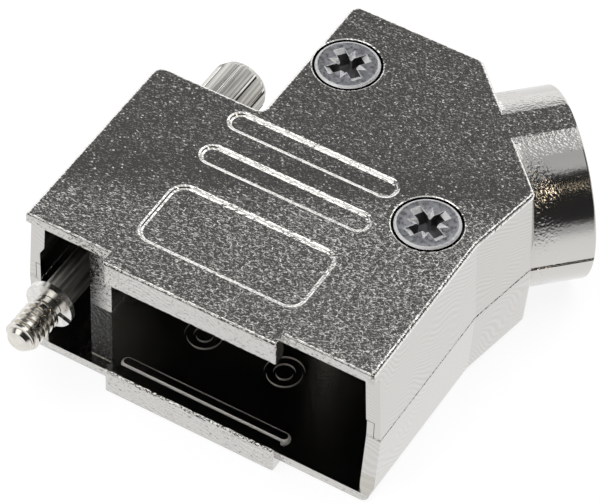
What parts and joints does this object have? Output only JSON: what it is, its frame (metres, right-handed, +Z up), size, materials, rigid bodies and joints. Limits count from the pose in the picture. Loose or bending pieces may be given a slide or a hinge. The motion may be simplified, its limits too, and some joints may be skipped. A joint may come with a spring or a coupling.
{
  "type": "d-sub connector hood",
  "caption": "Split metal hood for the back of a multi-pin cable connector, with an angled cable tube, hooked mouth, countersunk cover screws and a captive thumb jackscrew.",
  "frame": {"origin": "centre of the connector seat: mid-width, mid-height, at the front ends of the side walls", "axes": "+X across the connector towards the angled cable tube, +Y from the seat back into the hood, +Z up from mid-height to the face with the cover screws"},
  "size_m": [0.0368, 0.0434, 0.0152],
  "materials": {
    "plated_casting": "nickel-plated zinc casting, spark-eroded texture on the large faces, smooth on the sides",
    "zinc_plated_screw": "steel, bright zinc plating with a faint blue tint",
    "jackscrew_steel": "turned steel, nickel plated",
    "ring_steel": "spring steel, nickel plated",
    "insert_casting": "plain zinc casting, nickel plated"
  },
  "bodies": {
    "hood": {"upper_shell": "plated_casting", "lower_shell": "plated_casting", "cover_screw_rear": "zinc_plated_screw", "cover_screw_side": "zinc_plated_screw", "grip_insert_upper": "insert_casting", "grip_insert_lower": "insert_casting"},
    "ring": {"retaining_ring": "ring_steel"},
    "jackscrew": {"jackscrew": "jackscrew_steel"}
  },
  "joints": [
    {"name": "jackscrew_slide", "type": "slide", "parent": "hood", "child": "ring", "axis": [0, 1, 0], "range_m": [0, 0.0127]},
    {"name": "jackscrew_turn", "type": "hinge", "parent": "ring", "child": "jackscrew", "pos_m": [-0.0125, 0, 0], "axis": [0, 1, 0], "continuous": true}
  ]
}
